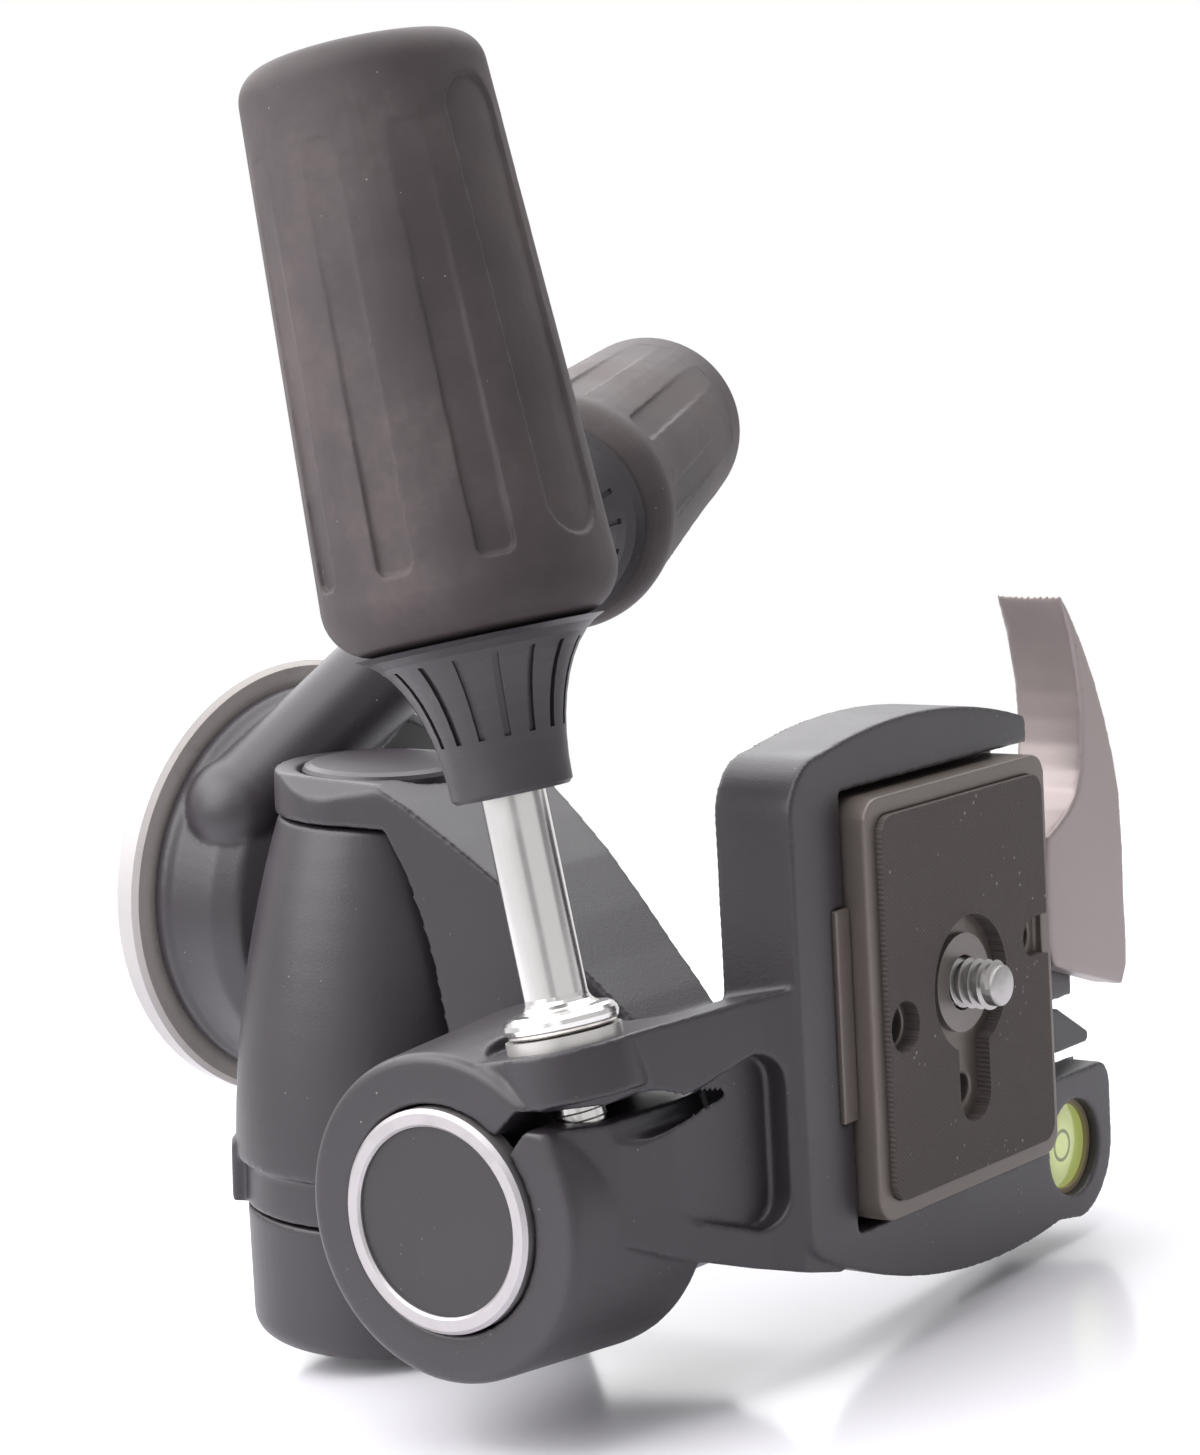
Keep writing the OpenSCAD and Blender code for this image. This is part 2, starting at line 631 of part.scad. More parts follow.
module camera_screw() {
  head = 2.2;
  color("silver") in_plate() {
    translate([0, 0, -plate_h + gap]) cylinder(r = screw_head_r, h = head);
    translate([0, 0, -plate_h + gap]) cylinder(r = screw_r - 0.6, h = plate_h - gap + screw_low + eps);
    translate([0, 0, screw_low]) cylinder(r = screw_r, h = screw_h - 0.6 - screw_low);
    translate([0, 0, screw_h - 0.6]) cylinder(r1 = screw_r, r2 = screw_r - 0.6, h = 0.6);
  }
}
module screw_ring() {
  color("gray") in_plate() translate([0, 0, pad_proud - pad_h]) difference() {
    cylinder(r = 6.2, h = 0.9);
    translate([0, 0, -1]) cylinder(r = screw_r + gap, h = 3);
  }
}

// Lock lever and its safety catch
module lever_outline() {
  polygon([
    [-32.7, -45], [-35.4, -41.6], [-37.9, -37.8], [-40.6, -33], [-42.9, -27.8], [-44.8, -22.4], [-46.1, -16.7],
    [-46.5, -9.5], [-46.4, -2.5], [-46.6, 3], [-46.4, 6.4], [-45, 9], [-27.3, 3.2], [-26.2, 0], [-26.2, -8],
    [-26.8, -13.9], [-29.8, -15.2], [-32.6, -16.7], [-34.7, -18.6], [-36, -21.4], [-36.6, -24.6], [-36.7, -28],
    [-36.5, -31.5], [-35.9, -35], [-35, -38.7], [-33.2, -43.2]
  ]);
}
module lock_lever() {
  top = lever_z + lever_h;
  color("#7a716a") in_plate() difference() {
    union() {
      translate([0, 0, lever_z]) linear_extrude(lever_h) lever_outline();
      intersection() {
        translate([0, 0, top - finger_h]) linear_extrude(finger_h) lever_outline();
        translate([-inf, -14 - inf, -inf]) cube([2 * inf, inf, 2 * inf]);
      }
    }
    translate([lever_at[0], lever_at[1], lever_z - 1]) cylinder(r = lever_pin_r + run_fit, h = lever_h - 0.1);
  }
}
module safety_catch() {
  color("#1f1f21") in_plate() translate([0, 0, catch_z]) difference() {
    linear_extrude(catch_h) polygon(concat(
      arc(catch_at, 3.2, 70, -90, 8), [catch_at + [-7.5, -2.3]], arc(catch_at + [-14.4, 2.7], 0.9, 225, 110, 5),
      [catch_at + [-7.5, 3.6]]
    ));
    translate([catch_at[0], catch_at[1], -1]) cylinder(r = catch_pin_r + run_fit, h = catch_h + 0.6);
  }
}

// Handles, drawn from the seat of the washer outwards
module handle_rod(len, stud) {
  fillet = min(1.6, len - washer_h - collar_h);
  rod_fillet = arc([rod_r + fillet, collar_h + fillet], fillet, 270, 180, 5);
  color("gainsboro") {
    translate([0, 0, -stud]) cylinder(r = stud_r, h = stud + washer_h + eps);
    translate([0, 0, washer_h]) rotate_extrude() polygon(concat(
      [[0, 0]], arc([collar_r - collar_h / 2, collar_h / 2], collar_h / 2, -90, 90, 8), rod_fillet,
      [[rod_r, len - washer_h + 8], [0, len - washer_h + 8]]
    ));
  }
}
module handle_washer() {
  color("silver") difference() {
    cylinder(r = collar_r, h = washer_h);
    translate([0, 0, -1]) cylinder(r = stud_r + run_fit, h = washer_h + 2);
  }
}
function neck_flare(i0, i1, cut) = [
  for (i = [i0:i1])
    [neck_r0 - cut + (neck_r1 - neck_r0) * (1 - cos(8 * i)) / (1 - cos(80)), 0.5 + (neck_len - 0.5) * sin(8 * i) / sin(80)]
];
module handle_neck(len) {
  color("#2f2f32") translate([0, 0, len]) difference() {
    rotate_extrude() polygon(concat([[0, 0], [neck_r0 - 0.5, 0], [neck_r0, 0.5]], neck_flare(1, 10, 0), [[0, neck_len]]));
    translate([0, 0, -1]) cylinder(r = rod_r, h = 9);
    for (i = [0:neck_cuts - 1]) rotate([90, 0, 360 * i / neck_cuts]) translate([0, 0, -0.4]) linear_extrude(0.8)
      polygon(concat([[neck_r1 + 2, neck_flare(7.5, 7.5, 0)[0][1]], [neck_r1 + 2, neck_flare(2.5, 2.5, 0)[0][1]]], neck_flare(2.5, 7.5, neck_cut_d)));
  }
}
module stadium(w, l) {
  translate([-w / 2, w / 2]) square([w, l - w]);
  translate([0, w / 2]) circle(d = w);
  translate([0, l - w / 2]) circle(d = w);
}
module grip_form(inset) {
  tip = 4;
  rotate_extrude() polygon(concat(
    [[0, inset]], arc([grip_r0 - grip_round, grip_round], grip_round - inset, -90, 0, 8),
    arc([grip_r1 - tip, grip_len - tip - 0.8], tip - inset, 3, 80, 8), [[0, grip_len - inset]]
  ));
}
module handle_grip(len) {
  // The flutes lean less than the grip's side, so they run out towards the tip
  lean = 0.7 * atan((grip_r0 - grip_r1) / (grip_len - grip_round - 4));
  color("#3b3938") translate([0, 0, len + neck_len]) difference() {
    grip_form(0);
    for (i = [1:flutes - 1]) rotate([0, 0, 360 * i / flutes]) translate([grip_r0, 0, grip_round]) rotate([0, -lean, 0])
      translate([-flute_d, 0, 2.5]) rotate([90, 0, 90]) linear_extrude(8)
        translate([0, flute_l / 2]) plate_shape(flute_w, flute_l, 1.2);
    difference() {
      translate([0, 0, grip_round + 3]) rotate([90, 0, 90]) linear_extrude(grip_r0 + 5) stadium(panel_w, flute_l + 4);
      grip_form(panel_d);
    }
  }
}
module roll_handle_rod() {
  on_roll_handle() handle_rod(rod_len, roll_stud);
}
module roll_handle_washer() {
  on_roll_handle() handle_washer();
}
module roll_handle_neck() {
  on_roll_handle() handle_neck(rod_len);
}
module roll_handle_grip() {
  on_roll_handle() rotate([0, 0, 92]) handle_grip(rod_len);
}
module pan_handle_rod() {
  on_pan_handle() handle_rod(pan_rod_len, pan_stud);
}
module pan_handle_washer() {
  on_pan_handle() handle_washer();
}
module pan_handle_neck() {
  on_pan_handle() handle_neck(pan_rod_len);
}
module pan_handle_grip() {
  on_pan_handle() rotate([0, 0, 80]) handle_grip(pan_rod_len);
}

base_disc();
thread_insert();
snap_ring();
pan_housing();
pan_arm();
upper_bush();
lower_bush();
yoke();
tilt_shaft();
eye_cover();
cup_cover();
roll_spindle();
spindle_ring();
spindle_cover();
platform();
clamp_nut();
lock_jaw();
lever_pin();
catch_pin();
level_cup();
level_vial();
plate_body();
plate_pad();
camera_screw();
screw_ring();
lock_lever();
safety_catch();
roll_handle_rod();
roll_handle_washer();
roll_handle_neck();
roll_handle_grip();
pan_handle_rod();
pan_handle_washer();
pan_handle_neck();
pan_handle_grip();
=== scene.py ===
import json
import math

import bpy
from mathutils import Matrix, Vector


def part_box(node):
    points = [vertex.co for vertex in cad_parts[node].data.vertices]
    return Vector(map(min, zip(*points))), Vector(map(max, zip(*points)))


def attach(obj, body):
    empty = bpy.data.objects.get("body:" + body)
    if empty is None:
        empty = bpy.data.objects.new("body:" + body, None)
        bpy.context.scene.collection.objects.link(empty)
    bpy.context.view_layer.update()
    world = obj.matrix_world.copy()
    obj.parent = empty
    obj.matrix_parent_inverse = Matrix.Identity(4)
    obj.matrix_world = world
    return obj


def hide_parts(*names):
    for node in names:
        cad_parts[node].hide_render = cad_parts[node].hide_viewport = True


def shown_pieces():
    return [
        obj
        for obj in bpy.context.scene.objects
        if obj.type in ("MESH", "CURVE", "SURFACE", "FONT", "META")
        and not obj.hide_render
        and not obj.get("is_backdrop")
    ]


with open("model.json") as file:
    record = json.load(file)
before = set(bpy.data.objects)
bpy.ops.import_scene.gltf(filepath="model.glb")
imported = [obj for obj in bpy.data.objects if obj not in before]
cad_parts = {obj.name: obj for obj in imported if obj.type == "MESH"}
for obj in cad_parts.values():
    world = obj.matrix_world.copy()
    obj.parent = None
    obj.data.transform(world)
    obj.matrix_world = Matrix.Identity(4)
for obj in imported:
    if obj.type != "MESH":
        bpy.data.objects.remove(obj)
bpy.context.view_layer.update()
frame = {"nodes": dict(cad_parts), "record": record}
nodes = frame["nodes"]
mm = 0.001


# Shader maths: a wire wraps a socket, and an expression on wires adds its Math nodes
class Wire:
    def __init__(self, tree, socket):
        self.tree = tree
        self.socket = socket

    @staticmethod
    def node(tree, kind, settings=None, values=(), output=0):
        made = tree.nodes.new(kind)
        for key, setting in (settings or {}).items():
            setattr(made, key, setting)
        pairs = values.items() if isinstance(values, dict) else enumerate(values)
        for key, value in pairs:
            plug(tree, made.inputs[key], value)
        return Wire(tree, made.outputs[output])

    def sum(self, operation, *values):
        return Wire.node(self.tree, "ShaderNodeMath", {"operation": operation}, values)

    def __add__(self, other):
        return self.sum("ADD", self, other)

    def __radd__(self, other):
        return self.sum("ADD", other, self)

    def __sub__(self, other):
        return self.sum("SUBTRACT", self, other)

    def __rsub__(self, other):
        return self.sum("SUBTRACT", other, self)

    def __mul__(self, other):
        return self.sum("MULTIPLY", self, other)

    def __rmul__(self, other):
        return self.sum("MULTIPLY", other, self)

    def sine(self):
        return self.sum("SINE", self)

    def atMost(self, other):
        return self.sum("MINIMUM", self, other)

    def atLeast(self, other):
        return self.sum("MAXIMUM", self, other)


def plug(tree, target, value):
    if isinstance(value, Wire):
        tree.links.new(value.socket, target)
    elif isinstance(value, tuple) and len(value) == 3 and len(target.default_value) == 4:
        target.default_value = (*value, 1.0)
    else:
        target.default_value = value


def plugAll(tree, shader, values):
    for socket, value in values.items():
        plug(tree, shader.inputs[socket], value)


# Building blocks that the finishes share
noiseMiddle = 0.5
mixColour = {"low": 6, "high": 7, "output": 2}  # where the Mix node keeps its colours
speckSetup = {"core": 0.55, "slower": 0.21, "detail": 2.0, "shown": {"low": 0.54, "high": 0.68}}


def newFinish(name):
    finish = bpy.data.materials.new(name)
    finish.use_nodes = True
    tree = finish.node_tree
    shader = tree.nodes["Principled BSDF"]
    place = Wire.node(tree, "ShaderNodeTexCoord", output="Object")
    return finish, tree, shader, place


def noise(tree, place, scale, detail, rough=0.5):
    values = {"Vector": place, "Scale": scale, "Detail": detail, "Roughness": rough}
    return Wire.node(tree, "ShaderNodeTexNoise", {}, values)


def step(tree, value, low, high):
    values = {"Value": value, "From Min": low, "From Max": high}
    return Wire.node(tree, "ShaderNodeMapRange", {"interpolation_type": "SMOOTHSTEP"}, values)


def specks(tree, place, scale, size):
    # small round dots, thinned out by a slow noise
    values = {"Vector": place, "Scale": scale}
    dots = Wire.node(tree, "ShaderNodeTexVoronoi", {}, values, "Distance")
    slow = noise(tree, place, scale * speckSetup["slower"], speckSetup["detail"])
    dotted = step(tree, dots, size, size * speckSetup["core"])
    return dotted * step(tree, slow, **speckSetup["shown"])


def blend(tree, mask, low, high):
    values = {"Factor": mask, mixColour["low"]: low, mixColour["high"]: high}
    return Wire.node(tree, "ShaderNodeMix", {"data_type": "RGBA"}, values, mixColour["output"])


def bump(tree, height, depth, strength):
    values = {"Strength": strength, "Distance": depth, "Height": height}
    return Wire.node(tree, "ShaderNodeBump", {}, values)


def edges(tree):
    # pointiness is high on outer edges, where a finish wears first and where a painted edge highlight
    # goes
    return Wire.node(tree, "ShaderNodeNewGeometry", output="Pointiness")


def vectorSum(tree, operation, *values):
    return Wire.node(tree, "ShaderNodeVectorMath", {"operation": operation}, values, "Vector")


def vectorSize(tree, operation, *values):
    return Wire.node(tree, "ShaderNodeVectorMath", {"operation": operation}, values, "Value")


def along(tree, place, axis):
    return Wire.node(tree, "ShaderNodeSeparateXYZ", {}, (place,), axis)


# Finishes
castFinish = {
    "tone": (0.023, 0.018, 0.024),
    "worn": (0.05, 0.041, 0.0515), "wornShare": 0.35,
    "cloud": {"scale": 60.0, "detail": 4.0, "rough": 0.55}, "cloudRough": 0.18,
    "dust": (0.42, 0.4, 0.38), "dustRough": 0.3,
    "specks": {"scale": 620.0, "size": 0.1},
    "grain": {"scale": 2600.0, "detail": 2.0, "rough": 0.6},
    "relief": {"depth": 0.00006, "strength": 0.45},
    "gloss": 0.65,
}


def castPolymer(name, tone=castFinish["tone"], rough=0.41, dusty=0.55):
    finish, tree, shader, place = newFinish(name)
    grain = noise(tree, place, **castFinish["grain"])
    cloud = noise(tree, place, **castFinish["cloud"])
    dust = specks(tree, place, **castFinish["specks"]) * dusty
    colour = blend(tree, cloud * castFinish["wornShare"], tone, castFinish["worn"])
    colour = blend(tree, dust, colour, castFinish["dust"])
    patchy = rough + (cloud - noiseMiddle) * castFinish["cloudRough"]
    plugAll(tree, shader, {
        "Base Color": colour,
        "Roughness": patchy + dust * castFinish["dustRough"],
        "Normal": bump(tree, grain, **castFinish["relief"]),
        "Specular IOR Level": castFinish["gloss"],
    })
    return finish


gripFinish = {
    "tone": (0.087, 0.0705, 0.073), "dark": (0.055, 0.044, 0.0465),
    "toned": {"low": 0.3, "high": 0.62},
    "scuff": (0.165, 0.136, 0.135), "scuffShare": 0.45, "scuffRough": 0.18,
    "scuffed": {"low": 0.5, "high": 0.68},
    "lint": (0.38, 0.35, 0.33), "lintShare": 0.7,
    "specks": {"scale": 430.0, "size": 0.06},
    "rub": {"scale": 38.0, "detail": 5.0, "rough": 0.6}, "rubShare": 0.7,
    "fine": {"scale": 420.0, "detail": 4.0, "rough": 0.65},
    "grain": {"scale": 3000.0, "detail": 2.0, "rough": 0.6}, "grainShare": 0.6,
    "relief": {"depth": 0.00007, "strength": 0.5},
    "rough": 0.62,
    "gloss": 0.38,
}


def gripRubber(name):
    finish, tree, shader, place = newFinish(name)
    rubShare, grainShare = gripFinish["rubShare"], gripFinish["grainShare"]
    rub = noise(tree, place, **gripFinish["rub"])
    fine = noise(tree, place, **gripFinish["fine"])
    grain = noise(tree, place, **gripFinish["grain"])
    lint = specks(tree, place, **gripFinish["specks"])
    scuff = step(tree, rub * rubShare + fine * (1.0 - rubShare), **gripFinish["scuffed"])
    toned = step(tree, rub, **gripFinish["toned"])
    colour = blend(tree, toned, gripFinish["dark"], gripFinish["tone"])
    colour = blend(tree, scuff * gripFinish["scuffShare"], colour, gripFinish["scuff"])
    colour = blend(tree, lint * gripFinish["lintShare"], colour, gripFinish["lint"])
    skin = grain * grainShare + fine * (1.0 - grainShare)
    plugAll(tree, shader, {
        "Base Color": colour,
        "Roughness": gripFinish["rough"] + scuff * gripFinish["scuffRough"],
        "Normal": bump(tree, skin, **gripFinish["relief"]),
        "Specular IOR Level": gripFinish["gloss"],
    })
    return finish


bronzeFinish = {
    "cloud": {"scale": 90.0, "detail": 4.0, "rough": 0.55}, "cloudShare": 0.5, "cloudRough": 0.2,
    # wear is the colour of the outer edges: partly real wear, partly a painted edge highlight
    "wear": (0.3, 0.28, 0.26), "wearAndHighlightShare": 0.5,
    "worn": {"low": 0.52, "high": 0.6},
    "dust": (0.45, 0.42, 0.4), "dustShare": 0.5,
    "specks": {"scale": 560.0, "size": 0.07},
    "grain": {"scale": 1800.0, "detail": 3.0, "rough": 0.6},
    "relief": {"depth": 0.00005, "strength": 0.35},
    "metallic": 0.35,
}


def anodised(name, tone, pale, rough=0.42):
    finish, tree, shader, place = newFinish(name)
    grain = noise(tree, place, **bronzeFinish["grain"])
    cloud = noise(tree, place, **bronzeFinish["cloud"])
    dust = specks(tree, place, **bronzeFinish["specks"])
    # outer edges lighter: partly wear, partly a painted edge highlight
    wear = step(tree, edges(tree), **bronzeFinish["worn"])
    colour = blend(tree, cloud * bronzeFinish["cloudShare"], tone, pale)
    colour = blend(tree, wear * bronzeFinish["wearAndHighlightShare"], colour, bronzeFinish["wear"])
    colour = blend(tree, dust * bronzeFinish["dustShare"], colour, bronzeFinish["dust"])
    plugAll(tree, shader, {
        "Base Color": colour,
        "Roughness": rough + (cloud - noiseMiddle) * bronzeFinish["cloudRough"],
        "Normal": bump(tree, grain, **bronzeFinish["relief"]),
        "Metallic": bronzeFinish["metallic"],
    })
    return finish


metalFinish = {
    "cloud": {"scale": 120.0, "detail": 4.0, "rough": 0.6},
    "dull": 0.62,
    "dulled": {"low": 0.48, "high": 0.72},
    "roughened": {"low": 0.45, "high": 0.7}, "wearRough": 0.6,
    "fine": {"scale": 1400.0, "detail": 3.0, "rough": 0.6}, "fineRough": 0.04,
    "relief": {"depth": 0.00002, "strength": 0.2},
    "metallic": 1.0,
}


def brightMetal(name, tone, rough, wear):
    finish, tree, shader, place = newFinish(name)
    fine = noise(tree, place, **metalFinish["fine"])
    cloud = noise(tree, place, **metalFinish["cloud"])
    dull = tuple(part * metalFinish["dull"] for part in tone)
    dulled = step(tree, cloud, **metalFinish["dulled"]) * wear
    roughened = step(tree, cloud, **metalFinish["roughened"]) * wear
    patchy = rough + roughened * metalFinish["wearRough"]
    plugAll(tree, shader, {
        "Base Color": blend(tree, dulled, tone, dull),
        "Roughness": patchy + (fine - noiseMiddle) * metalFinish["fineRough"],
        "Normal": bump(tree, fine, **metalFinish["relief"]),
        "Metallic": metalFinish["metallic"],
    })
    return finish


discFinish = {
    "tone": (0.6, 0.567, 0.572), "face": (0.6, 0.55, 0.53), "darkening": (0.12, 0.1, 0.085),
    "top": {"low": 0.0034, "high": 0.0041},
    "line": {"low": 0.0282, "high": 0.0252}, "lineShake": 0.0006, "lineShare": 0.9,
    "stain": {"low": 0.52, "high": 0.8}, "stainShare": 0.35,
    "cloud": {"scale": 160.0, "detail": 5.0, "rough": 0.65}, "cloudRough": 0.1,
    "fine": {"scale": 900.0, "detail": 4.0, "rough": 0.6},
    "rough": 0.34, "darkeningRough": 0.3,
    "ringRate": 9000.0,
    "relief": {"depth": 0.00001, "strength": 0.25},
    "metallic": 0.05,
}


def discMetal(name):
    # pale turned face, darker around the housing's foot, with random stains further out
    finish, tree, shader, place = newFinish(name)
    reach = vectorSize(tree, "LENGTH", vectorSum(tree, "MULTIPLY", place, (1.0, 1.0, 0.0)))
    cloud = noise(tree, place, **discFinish["cloud"])
    fine = noise(tree, place, **discFinish["fine"])
    top = step(tree, along(tree, place, "Z"), **discFinish["top"])
    shaken = reach + (fine - noiseMiddle) * discFinish["lineShake"]
    # the face darkens towards the housing: fully within 25.2 mm of the axis, not at all beyond 28.2
    # mm
    line = step(tree, shaken, **discFinish["line"])
    stain = (1.0 - line) * step(tree, cloud, **discFinish["stain"])
    darkening = top * (line * discFinish["lineShare"] + stain * discFinish["stainShare"])
    colour = blend(tree, top, discFinish["tone"], discFinish["face"])
    colour = blend(tree, darkening, colour, discFinish["darkening"])
    patchy = discFinish["rough"] + darkening * discFinish["darkeningRough"]
    rings = (reach * discFinish["ringRate"]).sine()
    plugAll(tree, shader, {
        "Base Color": colour,
        "Roughness": patchy + (cloud - noiseMiddle) * discFinish["cloudRough"],
        "Normal": bump(tree, rings, **discFinish["relief"]),
        "Metallic": discFinish["metallic"],
    })
    return finish


padFinish = {
    "tone": (0.076, 0.063, 0.0605), "pale": (0.19, 0.16, 0.152),
    "pitch": 0.00062, "clothShare": 0.55,
    "cloud": {"scale": 70.0, "detail": 4.0, "rough": 0.6}, "cloudShare": 0.3, "cloudRough": 0.2,
    "lint": (0.45, 0.42, 0.4), "lintShare": 0.8,
    "specks": {"scale": 760.0, "size": 0.2},
    "relief": {"depth": 0.00012, "strength": 0.8},
    "rough": 0.72,
    "gloss": 0.3,
}


def padWeave(name, spin):
    # fine woven grain that follows the plate's own directions
    finish, tree, shader, place = newFinish(name)
    values = {"Vector": place, "Rotation": spin}
    spun = Wire.node(tree, "ShaderNodeMapping", {"vector_type": "TEXTURE"}, values)
    rate = 2.0 * math.pi / padFinish["pitch"]
    warp = (along(tree, spun, "X") * rate).sine()
    weft = (along(tree, spun, "Y") * rate).sine()
    cloth = warp * weft * 0.5 + 0.5  # from -1..1 to 0..1
    cloud = noise(tree, place, **padFinish["cloud"])
    lint = specks(tree, place, **padFinish["specks"])
    lifted = cloth * padFinish["clothShare"] + cloud * padFinish["cloudShare"]
    colour = blend(tree, lifted, padFinish["tone"], padFinish["pale"])
    colour = blend(tree, lint * padFinish["lintShare"], colour, padFinish["lint"])
    plugAll(tree, shader, {
        "Base Color": colour,
        "Roughness": padFinish["rough"] + (cloud - noiseMiddle) * padFinish["cloudRough"],
        "Normal": bump(tree, cloth, **padFinish["relief"]),
        "Specular IOR Level": padFinish["gloss"],
    })
    return finish


vialFinish = {
    "rim": (0.52, 0.6, 0.17), "heart": (0.78, 0.89, 0.32),
    "glow": {"low": 0.0056, "high": 0.0012},
    "ring": (0.05, 0.06, 0.02), "ringShare": 0.8, "ringRough": 0.2,
    "ringInner": {"low": 0.0022, "high": 0.00235},
    "ringOuter": {"low": 0.0027, "high": 0.00255},
    "light": 0.34, "rough": 0.12, "coat": 0.6, "coatRough": 0.04,
}


def vialFluid(name, middle):
    # green fluid, brighter in the middle, with a painted glow of its own colour and a dark ring drawn
    # on its face
    finish, tree, shader, place = newFinish(name)
    reach = vectorSize(tree, "LENGTH", vectorSum(tree, "SUBTRACT", place, middle))
    inner = step(tree, reach, **vialFinish["ringInner"])
    ring = inner * step(tree, reach, **vialFinish["ringOuter"])
    glow = step(tree, reach, **vialFinish["glow"])
    colour = blend(tree, glow, vialFinish["rim"], vialFinish["heart"])
    colour = blend(tree, ring * vialFinish["ringShare"], colour, vialFinish["ring"])
    plugAll(tree, shader, {
        "Base Color": colour,
        # painted glow: the fluid gives off light though it is no lamp
        "Emission Color": colour,
        "Emission Strength": vialFinish["light"],
        "Roughness": vialFinish["rough"] + ring * vialFinish["ringRough"],
        "Coat Weight": vialFinish["coat"],
        "Coat Roughness": vialFinish["coatRough"],
    })
    return finish


# Frames of the moving groups at rest, in the part's own sizes
restPose = {
    "tilt": -8.0, "tiltAt": (13.2, 0.0, 35.0),
    "roll": 3.0, "rollAt": (0.0, 23.4, 76.5),
    "plateAt": (-11.2, 5.25, 108.85),
}
rollSeat = {"at": (56.5, -2.05, -19.6), "lean": 101.0}
panSeat = {"elbow": (-18.2, -41.4, 22.2), "drop": -120.0, "swing": 8.0, "socket": 9.0}


def shift(at):
    return Matrix.Translation(Vector(at) * mm)


def turn(degrees, axis):
    return Matrix.Rotation(math.radians(degrees), 4, axis)


def shiftedTurn(at, degrees, axis):
    spot = Vector(at) * mm
    return Matrix.Translation(spot) @ turn(degrees, axis) @ Matrix.Translation(-spot)


def tiltFrame():
    return shiftedTurn(restPose["tiltAt"], restPose["tilt"], "Y")


def plateFrame():
    roll = shiftedTurn(restPose["rollAt"], restPose["roll"], "X")
    return tiltFrame() @ roll @ shift(restPose["plateAt"])


def rollHandleFrame():
    return plateFrame() @ shift(rollSeat["at"]) @ turn(rollSeat["lean"], "X")


def panHandleFrame():
    socket = Matrix.Translation((0.0, 0.0, panSeat["socket"] * mm))
    swing = turn(panSeat["swing"], "Z")
    return shift(panSeat["elbow"]) @ swing @ turn(panSeat["drop"], "Y") @ socket


plateSpin = (math.radians(restPose["roll"]), math.radians(restPose["tilt"]), 0.0)
vialMiddle = Vector([(low + high) / 2 for low, high in zip(*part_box("level_vial"))])

cast = castPolymer("castPolymer")
coverBlack = castPolymer("coverBlack", tone=(0.0145, 0.011, 0.015), rough=0.44, dusty=0.25)
neckPolymer = castPolymer("neckPolymer", tone=(0.025, 0.02, 0.0245), rough=0.46, dusty=0.3)
cupTan = castPolymer("cupTan", tone=(0.4, 0.33, 0.2), rough=0.5, dusty=0.1)
bushWhite = castPolymer("bushWhite", tone=(0.6, 0.57, 0.5), rough=0.45, dusty=0.1)
rubber = gripRubber("gripRubber")
plateBronze = anodised("plateBronze", tone=(0.18, 0.152, 0.138), pale=(0.24, 0.205, 0.188))
leverBronze = anodised("leverBronze", tone=(0.38, 0.322, 0.318), pale=(0.46, 0.391, 0.384),
                       rough=0.4)
chromeRod = brightMetal("chromeRod", tone=(0.74, 0.725, 0.72), rough=0.2, wear=0.1)
zincWasher = brightMetal("zincWasher", tone=(0.62, 0.6, 0.585), rough=0.36, wear=0.4)
steelPlain = brightMetal("steelPlain", tone=(0.6, 0.59, 0.58), rough=0.3, wear=0.3)
screwSteel = brightMetal("screwSteel", tone=(0.4, 0.385, 0.38), rough=0.33, wear=0.4)
ringBright = brightMetal("ringBright", tone=(0.47, 0.445, 0.46), rough=0.5, wear=0.2)
discPale = discMetal("discPale")
padGrain = padWeave("padGrain", plateSpin)
vialGreen = vialFluid("vialGreen", vialMiddle)
print("finishes made")

finishOf = {
    "base_disc": discPale, "thread_insert": steelPlain, "snap_ring": steelPlain,
    "pan_housing": cast, "pan_arm": cast, "upper_bush": bushWhite, "lower_bush": bushWhite,
    "yoke": cast, "tilt_shaft": steelPlain, "eye_cover": cast, "cup_cover": coverBlack,
    "roll_spindle": steelPlain, "spindle_ring": ringBright, "spindle_cover": coverBlack,
    "platform": cast, "clamp_nut": zincWasher, "lock_jaw": plateBronze,
    "lever_pin": steelPlain, "catch_pin": steelPlain,
    "level_cup": cupTan, "level_vial": vialGreen,
    "plate_body": plateBronze, "plate_pad": padGrain,
    "camera_screw": screwSteel, "screw_ring": plateBronze,
    "lock_lever": leverBronze, "safety_catch": coverBlack,
    "roll_handle_rod": chromeRod, "roll_handle_washer": zincWasher,
    "roll_handle_neck": neckPolymer, "roll_handle_grip": rubber,
    "pan_handle_rod": chromeRod, "pan_handle_washer": zincWasher,
    "pan_handle_neck": neckPolymer, "pan_handle_grip": rubber,
}


def paint(mesh, finish):
    mesh.materials.clear()
    mesh.materials.append(finish)


for name, finish in finishOf.items():
    paint(nodes[name].data, finish)

bodies = frame["record"]["behaviour"]["bodies"]
bodyOf = {name: body for body, names in bodies.items() for name in names}


